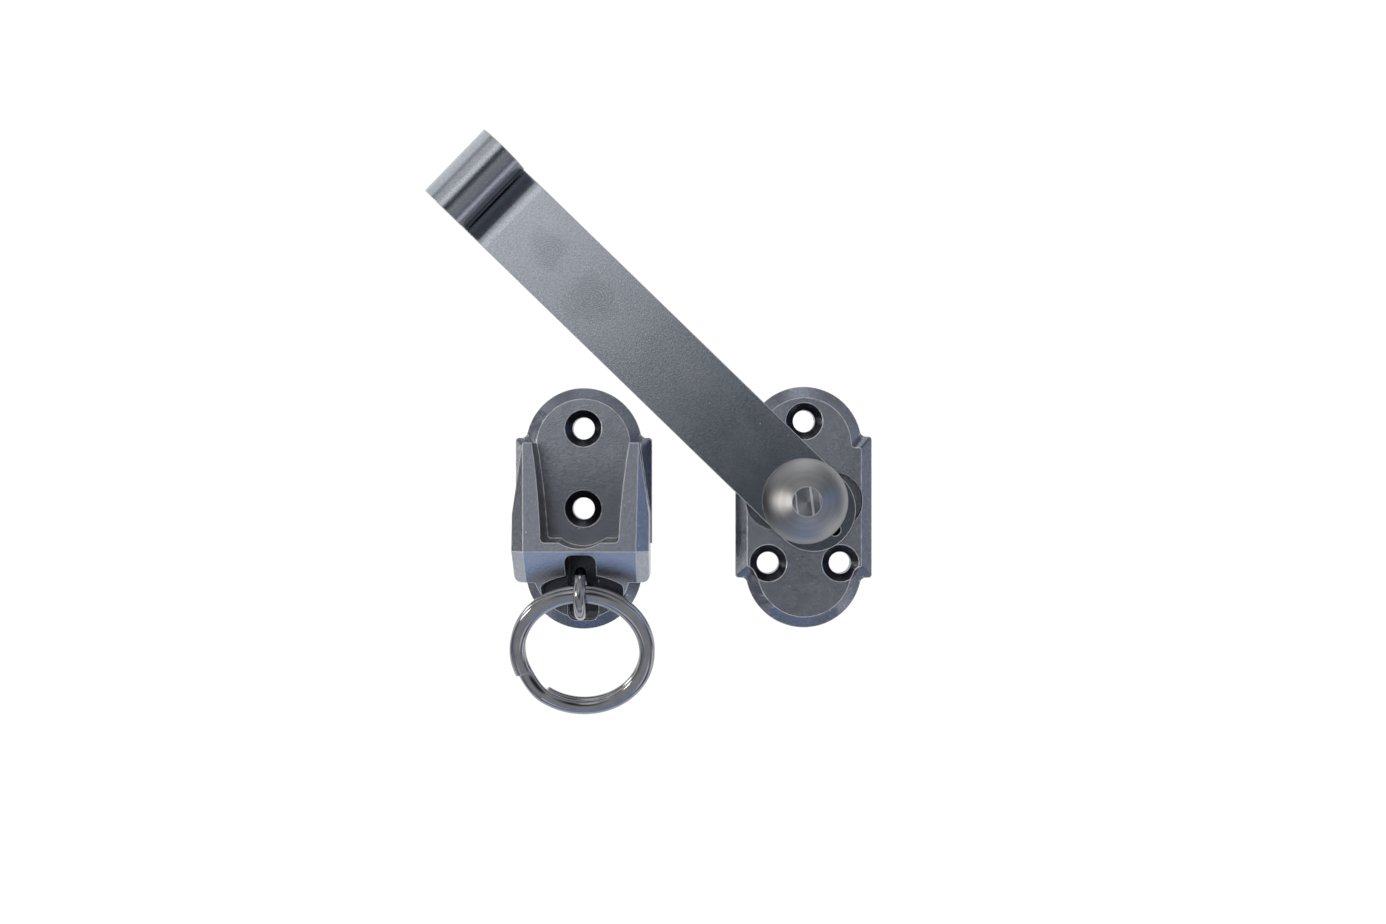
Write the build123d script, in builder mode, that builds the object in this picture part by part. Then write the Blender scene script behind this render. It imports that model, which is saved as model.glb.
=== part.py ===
from build123d import *
import math
import os

os.makedirs("parts", exist_ok=True)

# A hatch latch in two halves, lying on its back, in millimetres.
# The arm's pivot axis is the Z axis, and Z = 0 is the face that the door carries.
# The catch keeps its own Y, measured from the middle of its casting.

# Outline that both castings share
plate_width = 32.4
plate_straight = 33.6
shoulder_step = 2.4
end_setback = 1.96
plate_thickness = 5.5
bevel_width = 2.7
bevel_height = 2.5
shoulder_fillet = 1.4
shoulder_round = 0.7

# Countersunk screw holes
screw_radius = 2.6
screw_head_radius = 4.4
screw_head_angle = 90

# Where the middles of the castings lie
pivot_plate_y = -1.54
catch_x = -52.3
catch_y = -1.85

# Pivot plate, with Y measured from its middle
top_screw_inset = 8.24
low_screw_x = 8.55
low_screw_y = -13.2
detent_slot_length = 27.5
detent_slot_width = 13.3
detent_slot_depth = 2.5
boss_radius = 7.0

# Pivot stud and what it clamps
running_gap = 0.05
fixed_gap = 0.02
shank_radius = 2.5
shoulder_radius = 4.0
shoulder_lift = 0.4
head_radius = 10.1
head_height = 7.1
head_rim = 0.7
head_bulge = 0.3
crown_radius = 3.5
washer_radius = 6.4
washer_thickness = 1.0
spring_thickness = 0.7
spring_rise = 0.45
nut_across_flats = 8.0
nut_height = 2.2
nut_side_gap = 0.6
nut_chamfer = 0.4
back_clearance = 0.3

# Swinging arm, bent from one strip
arm_angle = 135.85
arm_width = 19.8
arm_thickness = 1.3
arm_tail = 12.7
arm_tail_radius = 9.8
dip_start = 95.3
dip_angle = 14.0
dip_radius = 10.0
roll_radius = 6.5
roll_reach = 114.2
roll_end_angle = 208.0
detent_reach = 9.65
detent_drop = 0.9
detent_bump_radius = 2.0
detent_dimple_radius = 1.5

# Catch housing
housing_inset = 0.4
housing_end_half_width = 13.4
housing_end_y = 15.5
housing_lip = 0.3
flare_end_y = -1.0
ridge_y = -9.5
ridge_height = 18.5
housing_end_height = 14.8
nose_angle = 45.0
facet_width = 2.9
facet_drop = 2.2
foot_step_y = -8.3
corner_radius = 1.6

# Channel between the cheeks
channel_mouth_half_width = 11.4
channel_middle_y = 2.0
channel_middle_half_width = 9.6
channel_end_y = -7.44
channel_end_half_width = 8.94
channel_draft = 2.0
channel_corner = 1.0
scallop_radius = 8.8
catch_screw_inset = 9.64

# Slot for the eye, and the relief that the ring drops into
slot_width = 7.2
slot_top_step = 0.8
slot_inset = 2.24
slot_floor = 2.5
slot_corner = 1.9
relief_gap = 1.2
relief_half_width = 9.6
relief_corner = 1.3

# Eye
eye_inset = 9.24
eye_top = 19.8
eye_radius = 6.15
eye_wire = 2.7
stem_radius = 1.9
rivet_radius = 3.1
rivet_height = 1.1

# Split ring
ring_radius = 15.2
wire_width = 3.6
wire_height = 2.0
wire_pitch = 1.8
ring_rise = 0.95
floor_gap = 0.02
wire_end_angle = 201.5
jog_angle = 31.0
jog_sections = 7
tilt_passes = 20

# Places that follow the castings' round ends
end_radius = plate_width / 2 - shoulder_step
end_offset = plate_straight / 2 - end_setback
casting_reach = end_offset + end_radius
top_screw_y = casting_reach - top_screw_inset
catch_screw_y = casting_reach - catch_screw_inset
housing_half_width = plate_width / 2 - housing_inset
facet_half_width = housing_half_width - facet_width
housing_foot_y = -plate_straight / 2 - housing_lip
slot_top_y = ridge_y - slot_top_step
slot_bottom_y = slot_inset - casting_reach
eye_y = eye_inset - casting_reach

# Heights through the pivot
washer_top = plate_thickness + washer_thickness
arm_bottom = washer_top + running_gap
arm_top = arm_bottom + arm_thickness
head_bottom = arm_top + running_gap
spring_bottom = back_clearance + nut_height
recess_top = spring_bottom + spring_rise + spring_thickness
nut_corner_radius = nut_across_flats / math.sqrt(3)
recess_radius = nut_corner_radius + nut_side_gap

# The eye's middle and the tilt at which the ring rests on the door
eye_middle_height = eye_top - eye_radius
ring_top_height = eye_middle_height + ring_rise
ring_tilt = 0.0
for tilt_pass in range(tilt_passes):
    wire_side = wire_width / 2 * math.sin(ring_tilt)
    wire_under = wire_height / 2 * math.cos(ring_tilt)
    wire_reach = wire_pitch / 2 * math.cos(ring_tilt) + math.hypot(wire_side, wire_under)
    ring_drop = ring_top_height - wire_reach - floor_gap
    ring_tilt = math.asin(ring_drop / (2 * ring_radius))
ring_plan_y = eye_y - ring_radius * math.cos(ring_tilt)

pivot_plate_base = Plane((0, pivot_plate_y, 0))
catch_base = Plane((catch_x, catch_y, 0))


# Tells whether an edge runs up the inner corner between a round end and a shoulder
def is_cove(edge, base, lowest_y):
    low, high = sorted((edge @ 0, edge @ 1), key=lambda point: point.Z)
    outward = abs(low.Y - base.origin.Y) - abs(high.Y - base.origin.Y)
    beside_end = abs(edge.center().X - base.origin.X) < end_radius
    past_straight = abs(low.Y - base.origin.Y) > plate_straight / 2 - running_gap
    is_upright = high.Z > low.Z and outward < bevel_width + running_gap
    return beside_end and past_straight and is_upright and low.Y - base.origin.Y > lowest_y


# Casting blank with two round ends, square shoulders, a bevelled rim and inner corners coved above a given Y
def plate_blank(base, cove_lowest_y):
    rim_height = plate_thickness - bevel_height
    with BuildPart(mode=Mode.PRIVATE) as blank:
        with BuildSketch(base):
            Rectangle(plate_width, plate_straight)
        extrude(amount=plate_thickness)
        top_rim = blank.faces().sort_by(Axis.Z)[-1]
        chamfer(top_rim.edges(), bevel_width, bevel_height, reference=top_rim)
        upright = blank.edges().filter_by(lambda edge: abs((edge @ 0).Z - (edge @ 1).Z) > running_gap)
        fillet(upright, shoulder_round)
        with Locations(base):
            with Locations((0, end_offset), (0, -end_offset)):
                Cylinder(end_radius, rim_height, align=(Align.CENTER, Align.CENTER, Align.MIN))
            with Locations((0, end_offset, rim_height), (0, -end_offset, rim_height)):
                Cone(
                    end_radius,
                    end_radius - bevel_width,
                    bevel_height,
                    align=(Align.CENTER, Align.CENTER, Align.MIN),
                )
        coves = blank.edges().filter_by(lambda edge: is_cove(edge, base, cove_lowest_y))
        fillet(coves, shoulder_fillet)
    return blank.part


# Pivot plate: a casting with three screw holes, a slot for the arm's detent and a boss for the stud
with BuildPart() as pivot_plate:
    add(plate_blank(pivot_plate_base, -casting_reach))
    with BuildSketch(Plane.XY.offset(plate_thickness)):
        SlotOverall(detent_slot_length, detent_slot_width)
        Circle(boss_radius, mode=Mode.SUBTRACT)
    extrude(amount=-detent_slot_depth, mode=Mode.SUBTRACT)
    with BuildSketch(Plane.XY):
        Circle(recess_radius)
    extrude(amount=recess_top, mode=Mode.SUBTRACT)
    with BuildSketch(Plane.XY.offset(recess_top)):
        Circle(shank_radius + running_gap)
    extrude(amount=plate_thickness - recess_top, mode=Mode.SUBTRACT)
    with Locations(pivot_plate_base.offset(plate_thickness)):
        with Locations((0, top_screw_y), (low_screw_x, low_screw_y), (-low_screw_x, low_screw_y)):
            CounterSinkHole(screw_radius, screw_head_radius, counter_sink_angle=screw_head_angle)
pivot_plate.part.label = "pivot_plate"
export_step(pivot_plate.part, "parts/pivot_plate.step")

# Thrust washer: a flat ring between the boss and the arm
with BuildPart() as thrust_washer:
    with BuildSketch(Plane.XY.offset(plate_thickness)):
        Circle(washer_radius)
        Circle(shoulder_radius + running_gap, mode=Mode.SUBTRACT)
    extrude(amount=washer_thickness)
thrust_washer.part.label = "thrust_washer"
export_step(thrust_washer.part, "parts/thrust_washer.step")

# Pivot stud: a turned cone head, a shoulder for the arm and a shank for the nut
with BuildPart() as pivot_stud:
    with BuildSketch(Plane.XZ):
        with BuildLine():
            head_top = head_bottom + head_height
            shoulder_bottom = plate_thickness + shoulder_lift
            Polyline(
                (0, head_top),
                (0, back_clearance),
                (shank_radius, back_clearance),
                (shank_radius, shoulder_bottom),
                (shoulder_radius, shoulder_bottom),
                (shoulder_radius, head_bottom),
                (head_radius, head_bottom),
                (head_radius, head_bottom + head_rim),
            )
            SagittaArc((head_radius, head_bottom + head_rim), (crown_radius, head_top), -head_bulge)
            Line((crown_radius, head_top), (0, head_top))
        make_face()
    revolve(axis=Axis.Z)
pivot_stud.part.label = "pivot_stud"
export_step(pivot_stud.part, "parts/pivot_stud.step")

# Disc spring: a dished ring that pulls the stud down on the arm
with BuildPart() as disc_spring:
    with BuildSketch(Plane.XZ):
        with BuildLine():
            spring_inner = shank_radius + running_gap
            spring_outer = recess_radius - running_gap
            Polyline(
                (spring_inner, spring_bottom),
                (spring_outer, spring_bottom + spring_rise),
                (spring_outer, recess_top),
                (spring_inner, spring_bottom + spring_thickness),
                close=True,
            )
        make_face()
    revolve(axis=Axis.Z)
disc_spring.part.label = "disc_spring"
export_step(disc_spring.part, "parts/disc_spring.step")

# Stud nut: a thin hexagon in the recess at the back
with BuildPart() as stud_nut:
    with BuildSketch(Plane.XY.offset(back_clearance)):
        Circle(nut_corner_radius)
    extrude(amount=nut_height)
    chamfer(stud_nut.edges(), nut_chamfer)
    with BuildSketch(Plane.XY.offset(back_clearance)):
        RegularPolygon(nut_corner_radius, 6)
        Circle(shank_radius + fixed_gap, mode=Mode.SUBTRACT)
    extrude(amount=nut_height, mode=Mode.INTERSECT)
stud_nut.part.label = "stud_nut"
export_step(stud_nut.part, "parts/stud_nut.step")

# Arm: a strip with a round tail, a slight dip and a rolled finger end, seen from its side
arm_turn = math.radians(arm_angle)
arm_side = Plane(
    origin=(0, 0, 0),
    x_dir=(math.cos(arm_turn), math.sin(arm_turn), 0),
    z_dir=(math.sin(arm_turn), -math.cos(arm_turn), 0),
)
arm_middle_height = arm_bottom + arm_thickness / 2
roll_middle_radius = roll_radius - arm_thickness / 2
dip_sine = math.sin(math.radians(dip_angle))
dip_cosine = math.cos(math.radians(dip_angle))
roll_start = roll_reach - roll_radius - roll_middle_radius * dip_sine
dip_run = (roll_start - dip_start - dip_radius * dip_sine) / dip_cosine

with BuildPart() as strap_arm:
    with BuildSketch(arm_side):
        with BuildLine():
            flat = Line((-arm_tail, arm_middle_height), (dip_start, arm_middle_height))
            dip = JernArc(flat @ 1, flat % 1, dip_radius, -dip_angle)
            slope = Line(dip @ 1, (dip @ 1) + (dip % 1) * dip_run)
            JernArc(slope @ 1, slope % 1, roll_middle_radius, roll_end_angle + 90 + dip_angle)
        trace(line_width=arm_thickness)
    extrude(amount=arm_width / 2, both=True)
    fillet(strap_arm.edges().filter_by(Axis.Z), arm_tail_radius)
    with BuildSketch(Plane.XY.offset(arm_bottom)):
        Circle(shoulder_radius + running_gap)
    extrude(amount=arm_thickness, mode=Mode.SUBTRACT)
    bump_ball = (detent_bump_radius**2 + detent_drop**2) / (2 * detent_drop)
    dimple_ball = (detent_dimple_radius**2 + detent_drop**2) / (2 * detent_drop)
    detent_x = -detent_reach * math.cos(arm_turn)
    detent_y = -detent_reach * math.sin(arm_turn)
    bump_latitude = -math.degrees(math.asin((bump_ball - detent_drop - running_gap) / bump_ball))
    with Locations((detent_x, detent_y, arm_bottom - detent_drop + bump_ball)):
        Sphere(bump_ball, arc_size1=-90, arc_size2=bump_latitude, align=None)
    with Locations((detent_x, detent_y, arm_top - detent_drop + dimple_ball)):
        Sphere(dimple_ball, mode=Mode.SUBTRACT)
strap_arm.part.label = "strap_arm"
export_step(strap_arm.part, "parts/strap_arm.step")


# Plane through three points of the housing, facing up
def facet_plane(first, second, third):
    normal = (Vector(*second) - Vector(*first)).cross(Vector(*third) - Vector(*first))
    if normal.Z < 0:
        normal = normal * -1
    return Plane(origin=catch_base.from_local_coords(Vector(*first)), z_dir=normal)


# Mouth-to-end outline of the channel, drawn in by its draft
def channel_outline(height):
    inset = (ridge_height - height) * math.tan(math.radians(channel_draft))
    mouth = (channel_mouth_half_width - inset, housing_end_y)
    middle = (channel_middle_half_width - inset, channel_middle_y)
    end = (channel_end_half_width - inset, channel_end_y + inset)
    with BuildSketch(catch_base.offset(height)) as outline:
        with BuildLine():
            ThreePointArc(mouth, middle, end)
            Line((0, end[1]), end)
            Polyline(mouth, (mouth[0], casting_reach), (0, casting_reach), (0, end[1]))
        make_face()
        mirror(about=Plane.YZ)
        corners = outline.vertices().group_by(Axis.Y)[0]
        fillet(corners, channel_corner)
    return outline.sketch


# Catch body: one casting with two ramped cheeks, a guide channel and a sloping nose
with BuildPart() as catch_body:
    with BuildSketch(catch_base):
        with BuildLine():
            Polyline(
                (0, housing_end_y),
                (housing_end_half_width, housing_end_y),
                (housing_half_width, flare_end_y),
                (housing_half_width, housing_foot_y),
                (0, housing_foot_y),
                close=True,
            )
        make_face()
        mirror(about=Plane.YZ)
        with Locations((0, -end_offset)):
            Circle(end_radius - bevel_width)
    extrude(amount=ridge_height)
    ridge = (0, ridge_y, ridge_height)
    ridge_side = (housing_half_width, ridge_y, ridge_height)
    cheek_end = (0, housing_end_y, housing_end_height)
    nose_foot = (0, ridge_y - ridge_height, ridge_height - ridge_height * math.tan(math.radians(nose_angle)))
    split(bisect_by=facet_plane(ridge, ridge_side, cheek_end), keep=Keep.BOTTOM)
    split(bisect_by=facet_plane(ridge, ridge_side, nose_foot), keep=Keep.BOTTOM)
    for side in (1, -1):
        facet_top = (side * facet_half_width, ridge_y, ridge_height)
        facet_low = (side * housing_half_width, ridge_y, ridge_height - facet_drop)
        cheek_corner = (side * housing_end_half_width, housing_end_y, housing_end_height)
        nose_corner = (side * facet_half_width, nose_foot[1], nose_foot[2])
        split(bisect_by=facet_plane(facet_top, facet_low, cheek_corner), keep=Keep.BOTTOM)
        split(bisect_by=facet_plane(facet_top, facet_low, nose_corner), keep=Keep.BOTTOM)
    with BuildPart(mode=Mode.PRIVATE) as footing:
        add(plate_blank(catch_base, 0))
        with BuildSketch(catch_base):
            with Locations((plate_width / 2, housing_foot_y), (-plate_width / 2, housing_foot_y)):
                Rectangle(shoulder_step, 2 * (foot_step_y - housing_foot_y))
        extrude(amount=plate_thickness, mode=Mode.SUBTRACT)
    add(footing.part)
    upright = catch_body.edges().filter_by(Axis.Z)
    low_upright = upright.filter_by(lambda edge: edge.center().Y < catch_y + foot_step_y - running_gap)
    outer_x = housing_half_width - running_gap
    fillet(low_upright.filter_by(lambda edge: abs(edge.center().X - catch_x) > outer_x), corner_radius)
    add(channel_outline(ridge_height))
    add(channel_outline(plate_thickness))
    loft(mode=Mode.SUBTRACT)
    with BuildSketch(catch_base.offset(plate_thickness)):
        Circle(scallop_radius)
    extrude(amount=ridge_height, mode=Mode.SUBTRACT)
    with BuildSketch(catch_base.offset(plate_thickness)) as relief:
        with Locations((0, ring_plan_y)):
            Circle(ring_radius + wire_width / 2 + relief_gap)
            Rectangle(2 * relief_half_width, 2 * ring_radius + 2 * wire_width, mode=Mode.INTERSECT)
        relief_corners = relief.vertices().filter_by(lambda corner: corner.Y > catch_y + ring_plan_y)
        fillet(relief_corners, relief_corner)
    extrude(amount=ridge_height, mode=Mode.SUBTRACT)
    with BuildSketch(catch_base.offset(slot_floor)):
        with Locations((0, (slot_top_y + slot_bottom_y) / 2)):
            RectangleRounded(slot_width, slot_top_y - slot_bottom_y, slot_corner)
    extrude(amount=ridge_height, mode=Mode.SUBTRACT)
    with BuildSketch(catch_base):
        with Locations((0, eye_y)):
            Circle(stem_radius + fixed_gap)
    extrude(amount=slot_floor, mode=Mode.SUBTRACT)
    with BuildSketch(catch_base):
        with Locations((0, eye_y)):
            Circle(rivet_radius + fixed_gap)
    with BuildSketch(catch_base.offset(rivet_height)):
        with Locations((0, eye_y)):
            Circle(stem_radius + fixed_gap)
    loft(mode=Mode.SUBTRACT)
    with Locations(catch_base.offset(plate_thickness)):
        with Locations((0, catch_screw_y), (0, 0)):
            CounterSinkHole(screw_radius, screw_head_radius, counter_sink_angle=screw_head_angle)
catch_body.part.label = "catch_body"
export_step(catch_body.part, "parts/catch_body.step")

# Eye: a closed wire loop on a stem that is riveted over at the back
eye_middle = catch_base.from_local_coords(Vector(0, eye_y, eye_middle_height))
loop_radius = eye_radius - eye_wire / 2
with BuildPart() as ring_eye:
    with BuildSketch(catch_base):
        with Locations((0, eye_y)):
            Circle(stem_radius)
    extrude(amount=eye_middle_height - loop_radius)
    with BuildSketch(catch_base):
        with Locations((0, eye_y)):
            Circle(rivet_radius)
    with BuildSketch(catch_base.offset(rivet_height)):
        with Locations((0, eye_y)):
            Circle(stem_radius)
    loft()
    with Locations(Plane(origin=eye_middle, z_dir=(1, 0, 0))):
        Torus(loop_radius, eye_wire / 2)
ring_eye.part.label = "ring_eye"
export_step(ring_eye.part, "parts/ring_eye.step")

# Split ring: two turns of flattened wire on each other, joined by a jog
ring_up = (0, math.cos(ring_tilt), math.sin(ring_tilt))
ring_normal = Vector(0, -math.sin(ring_tilt), math.cos(ring_tilt))
ring_top = catch_base.from_local_coords(Vector(0, eye_y, ring_top_height))
ring_plane = Plane(origin=ring_top - Vector(*ring_up) * ring_radius, x_dir=(1, 0, 0), z_dir=ring_normal)
ring_axis = Axis(ring_plane.origin, ring_normal)


# Plane across the wire at an angle round the ring, lifted along the ring's axis
def wire_plane(angle, lift):
    turn = math.radians(angle)
    outward = ring_plane.from_local_coords(Vector(math.cos(turn), math.sin(turn), 0)) - ring_plane.origin
    middle = ring_plane.origin + outward * ring_radius + ring_normal * lift
    return Plane(origin=middle, x_dir=outward, z_dir=outward.cross(ring_normal))


with BuildPart() as split_ring:
    with BuildSketch(wire_plane(wire_end_angle + jog_angle, 0)):
        with Locations((0, wire_pitch / 2), (0, -wire_pitch / 2)):
            Ellipse(wire_width / 2, wire_height / 2)
    revolve(axis=ring_axis, revolution_arc=360 - jog_angle)
    for section in range(jog_sections):
        share = section / (jog_sections - 1)
        lift = wire_pitch / 2 * math.cos(math.pi * share)
        with BuildSketch(wire_plane(wire_end_angle + jog_angle * (1 - share), lift)):
            Ellipse(wire_width / 2, wire_height / 2)
    loft()
split_ring.part.label = "split_ring"
export_step(split_ring.part, "parts/split_ring.step")
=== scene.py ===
import math

import bpy
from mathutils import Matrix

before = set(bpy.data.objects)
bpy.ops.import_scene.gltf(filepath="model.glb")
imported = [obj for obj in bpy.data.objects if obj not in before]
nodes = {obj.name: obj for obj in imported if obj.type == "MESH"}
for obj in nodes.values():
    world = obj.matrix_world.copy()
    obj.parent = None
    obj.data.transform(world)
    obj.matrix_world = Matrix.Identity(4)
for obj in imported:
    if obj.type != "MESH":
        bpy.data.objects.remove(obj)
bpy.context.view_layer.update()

# ---------------------------------------------------------------------------
# Camera. Straight above the table, 380 mm up, with the latch below the
# middle of the picture. One pixel of 1386 is 0.24 mm on the table.
camera_data = bpy.data.cameras.new("camera")
camera_data.sensor_width = 36.0
camera_data.lens = 41.13
camera_data.clip_start = 0.01
camera_data.clip_end = 50.0
camera = bpy.data.objects.new("camera", camera_data)
camera.location = (-0.02633, 0.00919, 0.380)
camera.rotation_euler = (0.0, 0.0, 0.0)
bpy.context.scene.collection.objects.link(camera)
bpy.context.scene.camera = camera
bpy.context.scene.view_settings.view_transform = "Standard"

# ---------------------------------------------------------------------------
# Room. A white surround to the camera. The metal sees a plain room: dim
# overhead, where the camera hangs, bright beside it, warm walls to the left,
# cool ones to the right, and soft panels.


class Wire:
    """One value in a node tree. Arithmetic on it adds Math nodes, and node() adds any other kind."""

    def __init__(self, tree, socket):
        self.tree = tree
        self.socket = socket

    def node(self, kind, feeds=(), out=0, **settings):
        """A node of any kind, its settings first, then its inputs by name or number."""
        made = self.tree.nodes.new("ShaderNode" + kind)
        for name, value in settings.items():
            setattr(made, name, value)
        for place, value in dict(feeds).items():
            if isinstance(value, Wire):
                self.tree.links.new(value.socket, made.inputs[place])
            else:
                made.inputs[place].default_value = value
        return Wire(self.tree, made.outputs[out])

    def math(self, operation, *values):
        """A Math node on this value and the others."""
        return self.node("Math", enumerate((self, *values)), operation=operation)

    def vector(self, operation, *values, out=0):
        """A Vector Math node on this value and the others."""
        return self.node("VectorMath", enumerate((self, *values)), out=out, operation=operation)

    def __add__(self, other):
        return self.math("ADD", other)

    def __radd__(self, other):
        return self.math("ADD", other)

    def __sub__(self, other):
        return self.math("SUBTRACT", other)

    def __rsub__(self, other):
        return self.node("Math", {0: other, 1: self}, operation="SUBTRACT")

    def __mul__(self, other):
        return self.math("MULTIPLY", other)

    def __rmul__(self, other):
        return self.math("MULTIPLY", other)

    def step(self, low, high):
        """0 below low, 1 above high and a smooth rise between them."""
        feeds = {"Value": self, "From Min": low, "From Max": high}
        return self.node("MapRange", feeds, interpolation_type="SMOOTHSTEP")

    def mix(self, first, second):
        """Colour first where this value is 0, and second where it is 1."""
        return self.node("Mix", {0: self, 6: first, 7: second}, out=2, data_type="RGBA")

    def parts(self):
        """The three parts of a vector."""
        split = self.node("SeparateXYZ", {0: self})
        return [Wire(self.tree, output) for output in split.socket.node.outputs]

    def noise(self, scale, detail=2.0, roughness=0.5):
        """Noise from 0 to 1 at this place, in features per metre."""
        feeds = {"Vector": self, "Scale": scale, "Detail": detail, "Roughness": roughness}
        return self.node("TexNoise", feeds)


world = bpy.data.worlds.new("room")
bpy.context.scene.world = world
world.use_nodes = True
tree = world.node_tree
tree.nodes.clear()
ray = Wire(tree, tree.nodes.new("ShaderNodeTexCoord").outputs["Generated"]).vector("NORMALIZE")
ray_x, ray_y, ray_z = ray.parts()
warm_wall = (0.27, 0.26, 0.245, 1.0)
cool_wall = (0.15, 0.19, 0.29, 1.0)
ceiling = (0.56, 0.56, 0.57, 1.0)
above_table = (0.28, 0.28, 0.29, 1.0)
dark_overhead = (0.052, 0.064, 0.078, 1.0)
# The walls turn cool towards the lower right, and the ceiling starts a quarter of the way up.
coolness = (ray_x * 0.6 - ray_y * 0.8).step(-0.5, 0.5)
room = ray_z.step(0.25, 0.60).mix(coolness.mix(warm_wall, cool_wall), ceiling)
room = ray_z.step(0.86, 0.95).mix(room, above_table)
# Azimuth, height, reach and softness in degrees, then the colour.
panels = (
    (128.0, 74.5, 9.5, 6.0, (0.92, 0.92, 0.93)),
    (180.0, 25.0, 7.0, 3.0, (10.0, 9.7, 9.0)),
    (90.0, 6.0, 12.0, 8.0, (1.40, 1.43, 1.50)),
    (135.0, 6.0, 10.0, 8.0, (0.75, 0.76, 0.80)),
    (-45.0, 5.0, 10.0, 7.0, (1.20, 1.16, 1.08)),
    (-75.0, 24.0, 5.0, 3.0, (0.9, 0.85, 0.78)),
    (-104.0, 24.0, 5.0, 3.0, (0.85, 0.80, 0.72)),
    (-125.0, 8.0, 8.0, 8.0, (0.40, 0.40, 0.36)),
    (-90.0, 8.0, 16.0, 8.0, (0.26, 0.36, 0.56)),
    (4.0, 24.0, 12.0, 8.0, (0.30, 0.42, 0.68)),
)
for azimuth, height, reach, softness, colour in panels:
    level = math.cos(math.radians(height))
    toward = (
        level * math.cos(math.radians(azimuth)),
        level * math.sin(math.radians(azimuth)),
        math.sin(math.radians(height)),
    )
    edge_out = math.cos(math.radians(reach + softness))
    edge_in = math.cos(math.radians(reach - softness))
    lit = ray.vector("DOT_PRODUCT", toward, out=1).step(edge_out, edge_in)
    room = room.vector("ADD", lit.mix((0.0, 0.0, 0.0, 1.0), (*colour, 1.0)))
# The dark patch round the camera, 9 to 22 degrees wide, ends where the strap's far end looks.
lit_side = math.radians(130.0)
away = 1.0 - (ray_y * math.sin(lit_side) + ray_x * math.cos(lit_side)).step(-0.02, 0.17)
overhead = ray_z.step(math.cos(math.radians(22.0)), math.cos(math.radians(9.0)))
room = (overhead * away).mix(room, dark_overhead)
seen = Wire(tree, tree.nodes.new("ShaderNodeLightPath").outputs["Is Camera Ray"])
surround = room.node("Background", {"Color": seen.mix(room, (1.0, 1.0, 1.0, 1.0))})
end = tree.nodes.new("ShaderNodeOutputWorld")
tree.links.new(surround.socket, end.inputs["Surface"])

# One large soft lamp up to the left gives the table its faint shadow.
lamp_data = bpy.data.lights.new("softbox", "AREA")
lamp_data.shape = "DISK"
lamp_data.size = 1.0
lamp_data.energy = 0.5
lamp_data.color = (1.0, 0.985, 0.96)
softbox = bpy.data.objects.new("softbox", lamp_data)
softbox.location = (-0.75, 0.65, 1.15)
softbox.rotation_euler = (math.radians(-29.5), math.radians(-33.0), 0.0)
bpy.context.scene.collection.objects.link(softbox)

# ---------------------------------------------------------------------------
# Table. A plain white sheet that stays white to the camera and in the metal,
# and keeps a little of the latch's shadow.
table_half = 2.5
table_top = -0.00002
table_mesh = bpy.data.meshes.new("table")
signs = ((-1, -1), (1, -1), (1, 1), (-1, 1))
table_mesh.from_pydata([(table_half * a, table_half * b, table_top) for a, b in signs], [], [(0, 1, 2, 3)])
table = bpy.data.objects.new("table", table_mesh)
bpy.context.scene.collection.objects.link(table)
table_material = bpy.data.materials.new("white_table")
table_material.use_nodes = True
tree = table_material.node_tree
tree.nodes.clear()
paths = tree.nodes.new("ShaderNodeLightPath")
camera_ray, glossy_ray, through_ray = (
    Wire(tree, paths.outputs[name]) for name in ("Is Camera Ray", "Is Glossy Ray", "Is Transmission Ray")
)
seen = (camera_ray + glossy_ray + through_ray).math("MINIMUM", 1.0)
matt = seen.node("BsdfDiffuse", {"Color": (0.94, 0.94, 0.94, 1.0)})
white = seen.node("Emission", {"Color": (1.0, 1.0, 1.0, 1.0), "Strength": 1.12})
surface = seen.node("MixShader", {0: seen * 0.88, 1: matt, 2: white})
end = tree.nodes.new("ShaderNodeOutputMaterial")
tree.links.new(surface.socket, end.inputs["Surface"])
table_mesh.materials.append(table_material)

# ---------------------------------------------------------------------------
# Castings. The two bodies are cast, then plated black nickel. Their flats and
# the catch's crest are linished bright and their sides stay as cast, with painted
# light and shade over both: faces lighter or darker by how they lean, painted
# shade on steep walls, left facets, countersinks, slot and channel floors, and
# darkest in the recess round the eye. A fine sandy grain, small nicks, bright
# specks painted as glints, and edges painted bright, partly wear and partly a
# painted highlight.
worn_radius = 0.00034
worn_and_highlight_bright = (0.88, 0.88, 0.86, 1.0)


def metal(name, anisotropy=0.0):
    """A new metal material, its shader, the place on the surface in metres, the normal of
    its edges once worn round, and the edge nearness, which is 1 minus the dot product of
    that normal with the true one, so it is 0 on faces and rises on every edge.
    """
    material = bpy.data.materials.new(name)
    material.use_nodes = True
    tree = material.node_tree
    tree.nodes.clear()
    shader = tree.nodes.new("ShaderNodeBsdfPrincipled")
    shader.inputs["Anisotropic"].default_value = anisotropy
    end = tree.nodes.new("ShaderNodeOutputMaterial")
    tree.links.new(shader.outputs["BSDF"], end.inputs["Surface"])
    place = Wire(tree, tree.nodes.new("ShaderNodeTexCoord").outputs["Object"])
    rounded = place.node("Bevel", {"Radius": worn_radius}, samples=6)
    true_normal = Wire(tree, tree.nodes.new("ShaderNodeNewGeometry").outputs["Normal"])
    edge_nearness = 1.0 - rounded.vector("DOT_PRODUCT", true_normal, out=1)
    return material, shader, place, rounded, edge_nearness


def finish_metal(material, shader, members, *wires):
    """Feeds colour, metalness, roughness and normal to the shader, and plates the members with it."""
    for name, wire in zip(("Base Color", "Metallic", "Roughness", "Normal"), wires):
        wire.tree.links.new(wire.socket, shader.inputs[name])
    for member in members:
        nodes[member].data.materials.clear()
        nodes[member].data.materials.append(material)


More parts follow.
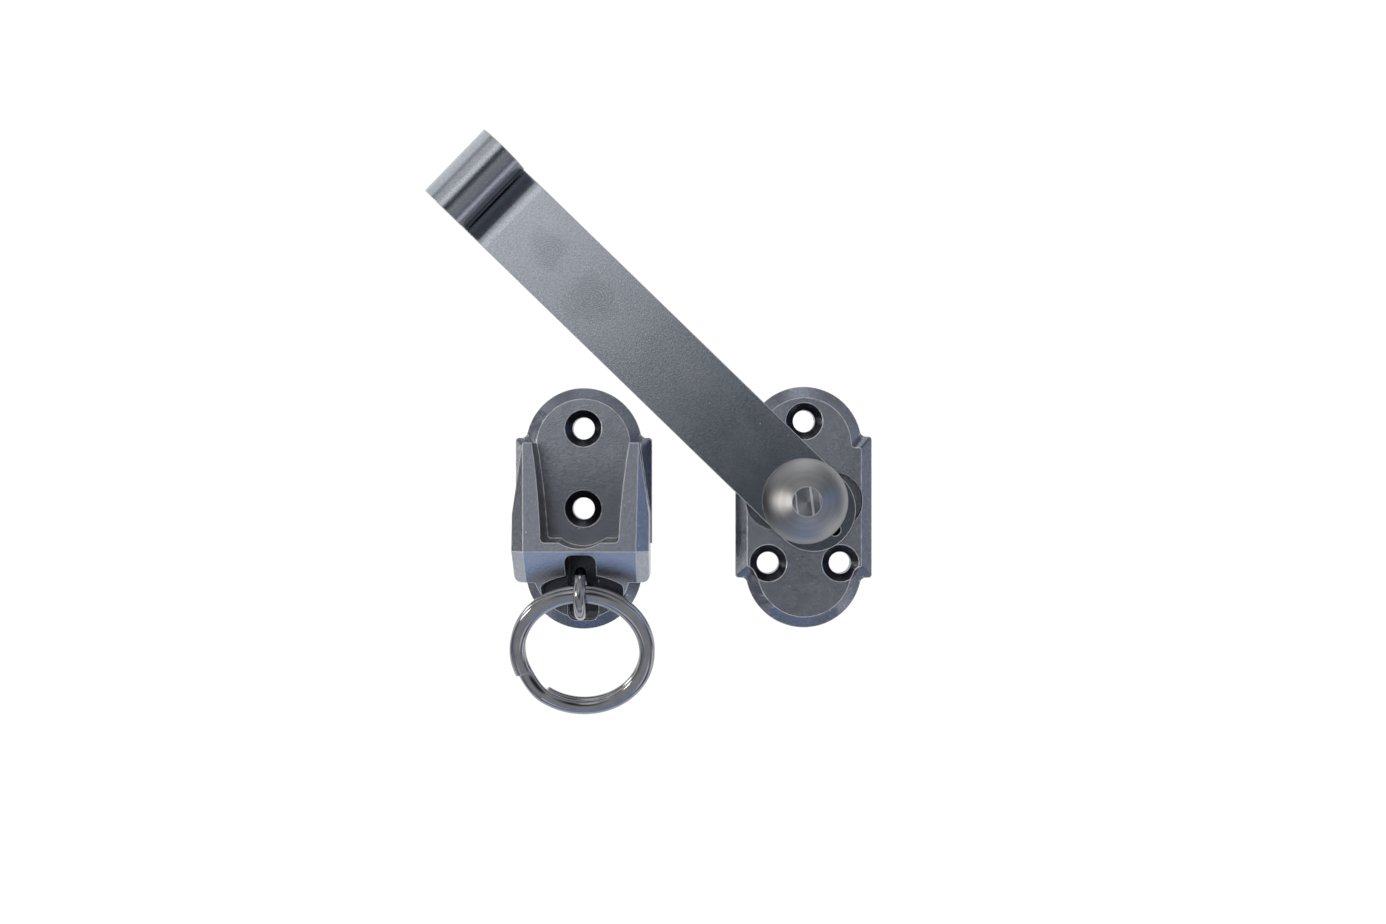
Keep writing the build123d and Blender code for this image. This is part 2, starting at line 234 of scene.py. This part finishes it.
def glint_specks(place, scale, size, share):
    """Round specks, one to a cell of 1/scale metres: soft between the two sizes, in cells, and
    kept in the cells whose random number passes the two values of share.
    """
    cells = place.node("TexVoronoi", {"Vector": place, "Scale": scale})
    draw = Wire(place.tree, cells.socket.node.outputs["Color"]).parts()[0]
    return (1.0 - cells.step(*size)) * draw.step(*share)


def bumps(height, strength, distance, normal):
    """The normal, tilted by the slope of a height whose unit is the distance, in metres."""
    feeds = {"Strength": strength, "Distance": distance, "Height": height, "Normal": normal}
    return height.node("Bump", feeds)


plate_top = 0.0055
slot_depth = 0.0025
screw_head_radius = 0.0044
pivot_screws = ((0.0, 0.01886), (-0.00855, -0.01474), (0.00855, -0.01474))
catch_screws = ((-0.0523, 0.01715), (-0.0523, -0.00185))
catch_x = -0.0523
ridge_y = -0.01135
ridge_height = 0.0185
relief_half_width = 0.0096
flatter_by = 0.14
as_cast_and_painted_shade = (0.155, 0.17, 0.21, 1.0)
linished_low, linished_high = (0.365, 0.385, 0.435, 1.0), (0.41, 0.43, 0.48, 1.0)
painted_shade_colour = (0.02, 0.022, 0.03, 1.0)

cast, shader, place, rounded, edge_nearness = metal("cast_black_nickel")
x, y, z = place.parts()
normal_x, normal_y, upness = Wire(place.tree, place.socket.node.outputs["Normal"]).parts()

# Flats, the countersinks' cones, steep walls, and the catch above its base plate.
flat = upness.step(0.85, 0.97)
holes = 0.0
for screw in pivot_screws + catch_screws:
    offset = place.vector("SUBTRACT", (*screw, 0.0)).vector("MULTIPLY", (1.0, 1.0, 0.0))
    near = offset.vector("LENGTH", out=1).step(screw_head_radius + 0.00005, screw_head_radius + 0.0003)
    holes = 1.0 - near + holes
cones = holes * (1.0 - flat)
wall = 1.0 - upness.step(0.1, 0.5)
crest = z.step(plate_top, plate_top + 0.002) * upness.step(0.3, 0.6)

# The nose and the bevels that face left or down. They lean 43 to 45 degrees, and
# are lit as if they leaned 6 degrees less, as the photograph shows them.
facing = (0.0 - normal_y.math("MINIMUM", normal_x)).step(0.5, 0.62)
lean = facing * (1.0 - upness.step(0.742, 0.765)) * (1.0 - cones)
left_side = (0.0 - normal_x).step(0.4, 0.55) * crest
left_facet = left_side * (1.0 - lean)

# The recess lies under the plane of the nose, between the relief's sides.
past_ridge = 1.0 - y.step(ridge_y - 0.00035, ridge_y + 0.00005)
under_nose = (y - z + (ridge_height - ridge_y)).step(0.0004, 0.0012) * past_ridge
across = (x - catch_x).math("ABSOLUTE")
recess = under_nose * (1.0 - across.step(relief_half_width + 0.0002, relief_half_width + 0.0005))
slot_floor = flat * (1.0 - z.step(plate_top - slot_depth + 0.0004, plate_top - 0.0005))
channel_floor = flat * (1.0 - crest) * (1.0 - y.step(0.0, 0.014)) * (1.0 - x.step(-0.03, -0.02))

# The plating: linished bright on the flats and crest and as cast on the sides,
# with painted light and shade over both, and painted shade in the hollows.
cloud = place.noise(120.0, detail=4.0, roughness=0.6)
# Painted light: the crest is painted lighter where it leans left or down and darker on its left facets;
# the steep sides are painted darker.
linished_and_painted_light = (flat * (1.0 - crest)).math("MAXIMUM", crest * (0.37 + lean * 0.48) - left_facet * 0.27)
colour = linished_and_painted_light.mix(as_cast_and_painted_shade, cloud.step(0.3, 0.7).mix(linished_low, linished_high))
grain = place.noise(2600.0, detail=4.0, roughness=0.8)
sand = place.noise(1700.0, detail=2.0, roughness=0.7)
colour = (grain.step(0.50, 0.70) * 0.35).mix(colour, (0.60, 0.61, 0.63, 1.0))
colour = (sand.step(0.46, 0.66) * (linished_and_painted_light * 0.09 + 0.04)).mix(colour, (0.66, 0.67, 0.69, 1.0))
colour = (0.10 - sand.step(0.34, 0.50) * 0.10).mix(colour, (0.10, 0.105, 0.12, 1.0))
# Painted shade: steep walls, the recess round the eye, the countersinks, the slot and channel floors and
# the left facets are painted dark.
shade = wall * 0.7
for painted_shade_part in (recess * 0.8, cones * 0.6, slot_floor * 0.45, channel_floor * 0.35, left_facet * 0.6):
    shade = shade.math("MAXIMUM", painted_shade_part)
colour = shade.mix(colour, painted_shade_colour)

# Bright specks painted as glints of the grain, and nicks, then the edges.
# Painted glints: bright specks that stand in for the sparkle of the grain.
specks = glint_specks(place, 620.0, (0.07, 0.16), (0.75, 0.85))
nick_place = place.vector("MULTIPLY", (700.0, 260.0, 500.0)).vector("ADD", place.noise(900.0) * 0.6)
nick = place.node("TexVoronoi", {"Vector": nick_place, "Scale": 1.0})
nicks = (1.0 - nick.step(0.03, 0.07)) * place.noise(150.0, detail=1.0).step(0.63, 0.67) * linished_and_painted_light
shine = (specks * 0.56 + nicks * 0.7).math("MINIMUM", 1.0) * (1.0 - recess)
colour = shine.mix(colour, (0.80, 0.80, 0.79, 1.0))
# Edges painted bright, partly wear and partly a painted highlight, strongest on the crest.
rub_and_highlight = (0.45 + crest * 0.35 + place.noise(420.0, detail=3.0).step(0.3, 0.6) * 0.55).math("MINIMUM", 1.0)
edge = edge_nearness.step(0.003, 0.035) * rub_and_highlight * (1.0 - recess * 0.7)
colour = edge.mix(colour, worn_and_highlight_bright)

metalness = 1.0 - (edge * 0.6 + shine * 0.5).math("MINIMUM", 0.6)
roughness = 0.16 + cloud.step(0.35, 0.65) * 0.05 + lean * 0.05 - left_side * 0.08
normal = bumps(z * lean * -flatter_by, 1.0, 1.0, bumps(grain, 0.45, 0.00012, rounded))
finish_metal(cast, shader, ("pivot_plate", "catch_body"), colour, metalness, roughness, normal)

# ---------------------------------------------------------------------------
# Arm. Cold-rolled strip under the same plating, so it is smoother: a faint
# fine grain, bright specks painted as glints, a few fingerprints and sheared edges
# painted bright, partly wear and partly a painted highlight.
arm_angle = math.radians(135.85)
arm_top = 0.0078
dip_start, dip_end = 0.0962, 0.1062
prints = (((-0.0505, 0.0480, arm_top), 0.0085), ((-0.0600, 0.0590, arm_top), 0.0065))
strip_low, strip_high = (0.36, 0.39, 0.435, 1.0), (0.40, 0.425, 0.47, 1.0)

strip, shader, place, rounded, edge_nearness = metal("strip_black_nickel")
x, y = place.parts()[:2]
cloud = place.noise(90.0, detail=3.0, roughness=0.55)
grain = place.noise(2800.0, detail=4.0, roughness=0.8)
sand = place.noise(1900.0, detail=2.0, roughness=0.7)
colour = cloud.step(0.3, 0.7).mix(strip_low, strip_high)
colour = (grain.step(0.45, 0.70) * 0.5).mix(colour, (0.50, 0.52, 0.54, 1.0))
colour = (sand.step(0.46, 0.66) * 0.20).mix(colour, (0.62, 0.64, 0.66, 1.0))
colour = (0.15 - sand.step(0.34, 0.50) * 0.15).mix(colour, (0.16, 0.17, 0.19, 1.0))

# Fingerprints: ovals of ridges 0.8 mm apart, in patches with ragged edges.
smudges = 0.0
for spot, size in prints:
    offset = place.vector("SUBTRACT", spot)
    swirl = offset.vector("MULTIPLY", (1.0, 1.6, 0.0)).vector("LENGTH", out=1) + place.noise(150.0) * 0.003
    ridges = (swirl * 7500.0).math("SINE").step(-0.6, 0.8)
    ragged = offset.vector("LENGTH", out=1) + (place.noise(210.0) - 0.5) * size
    smudges = (1.0 - ragged.step(size * 0.3, size * 0.95)) * (0.25 + ridges * 0.55) + smudges
colour = (smudges * 0.5).mix(colour, (0.24, 0.25, 0.27, 1.0))

# The low bend before the roll is painted dark: painted shade under the roll,
# and its dark reflection in the strip.
along = y * math.sin(arm_angle) + x * math.cos(arm_angle)
dip_painted_shade = along.step(dip_start, dip_start + 0.0023) * (1.0 - along.step(dip_end - 0.0014, dip_end))
colour = (dip_painted_shade * 0.5).mix(colour, (0.10, 0.105, 0.135, 1.0))
# Painted glints: bright specks that stand in for the sparkle of the grain.
specks = glint_specks(place, 760.0, (0.06, 0.15), (0.82, 0.92))
colour = (specks * 0.56).mix(colour, (0.72, 0.72, 0.70, 1.0))
# Edges painted bright, partly wear and partly a painted highlight.
edge = edge_nearness.step(0.003, 0.035)
colour = edge.mix(colour, worn_and_highlight_bright)
metalness = 1.0 - edge * 0.7 - specks * 0.4
roughness = 0.14 + cloud.step(0.35, 0.65) * 0.025 + grain * 0.03 + smudges * 0.07
normal = bumps(grain, 0.25, 0.00008, rounded)
finish_metal(strip, shader, ("strap_arm",), colour, metalness, roughness, normal)

# ---------------------------------------------------------------------------
# Eye and split ring. Polished wire under black nickel, glossy, with its edges
# painted lighter.
bright, shader, place, rounded, edge_nearness = metal("bright_black_nickel")
cloud = place.noise(260.0, detail=4.0, roughness=0.6)
edge = edge_nearness.step(0.02, 0.2)
colour = cloud.step(0.3, 0.7).mix((0.26, 0.265, 0.285, 1.0), (0.31, 0.315, 0.33, 1.0))
colour = edge.mix(colour, (0.66, 0.66, 0.65, 1.0))
roughness = 0.07 + cloud.step(0.4, 0.7) * 0.05
normal = bumps(cloud, 0.06, 0.0001, rounded)
finish_metal(bright, shader, ("ring_eye", "split_ring"), colour, 1.0 - edge * 0.4, roughness, normal)

# ---------------------------------------------------------------------------
# Stud. Turned steel: fine rings about its axis, a smooth cone and a flat
# crown with a few scratches across it.
crown_radius = 0.00335
dish_depth = 0.0011

turned, shader, place, rounded, edge_nearness = metal("turned_steel", anisotropy=0.9)
x, y, z = place.parts()
radius = (x * x + y * y).math("SQRT")
ring_place = radius.node("CombineXYZ", {0: radius, 1: z * 0.6})
rings = ring_place.noise(5200.0, detail=3.0, roughness=0.7)
broad_rings = ring_place.noise(900.0, detail=2.0)
crown = 1.0 - radius.step(crown_radius, crown_radius + 0.00015)
lines = x + y * 0.12 + place.noise(260.0) * 0.0006
scratches = crown * lines.node("CombineXYZ", {0: lines}).noise(1100.0, detail=2.0).step(0.53, 0.62)
colour = broad_rings.step(0.3, 0.7).mix((0.27, 0.275, 0.285, 1.0), (0.32, 0.32, 0.325, 1.0))
colour = (rings.step(0.5, 0.8) * 0.3).mix(colour, (0.45, 0.45, 0.45, 1.0))
colour = crown.mix(colour, (0.50, 0.51, 0.54, 1.0))
colour = (scratches * 0.8).mix(colour, (0.80, 0.80, 0.79, 1.0))
# The rim and edges are painted bright: a painted highlight.
edge = edge_nearness.step(0.005, 0.06)
colour = edge.mix(colour, (0.75, 0.75, 0.73, 1.0))
metalness = 1.0 - (edge * 0.8).math("MAXIMUM", scratches * 0.5)
roughness = 0.32 + rings * 0.08 - crown * 0.15

# The tool's rings, and the slight dish between the crown and the rim that spreads the light.
height = rings * 0.000012 + radius.step(0.0030, 0.0120) * dish_depth
normal = bumps(height, 1.0, 1.0, rounded)
finish_metal(turned, shader, ("pivot_stud",), colour, metalness, roughness, normal)

# ---------------------------------------------------------------------------
# Washer, nut and spring. Plain zinc-plated steel with a mottled bloom, and
# oiled spring steel, darker.
for name, members, low, high in (
    ("plain_steel", ("thrust_washer", "stud_nut"), (0.42, 0.43, 0.45, 1.0), (0.56, 0.57, 0.58, 1.0)),
    ("spring_steel", ("disc_spring",), (0.20, 0.20, 0.21, 1.0), (0.30, 0.30, 0.31, 1.0)),
):
    plain, shader, place, rounded, edge_nearness = metal(name)
    cloud = place.noise(500.0, detail=4.0, roughness=0.6)
    edge = edge_nearness.step(0.02, 0.2)
    colour = edge.mix(cloud.step(0.3, 0.7).mix(low, high), (0.7, 0.7, 0.7, 1.0))
    roughness = 0.30 + cloud * 0.12
    normal = bumps(cloud, 0.1, 0.0001, rounded)
    finish_metal(plain, shader, members, colour, 1.0 - edge * 0.3, roughness, normal)
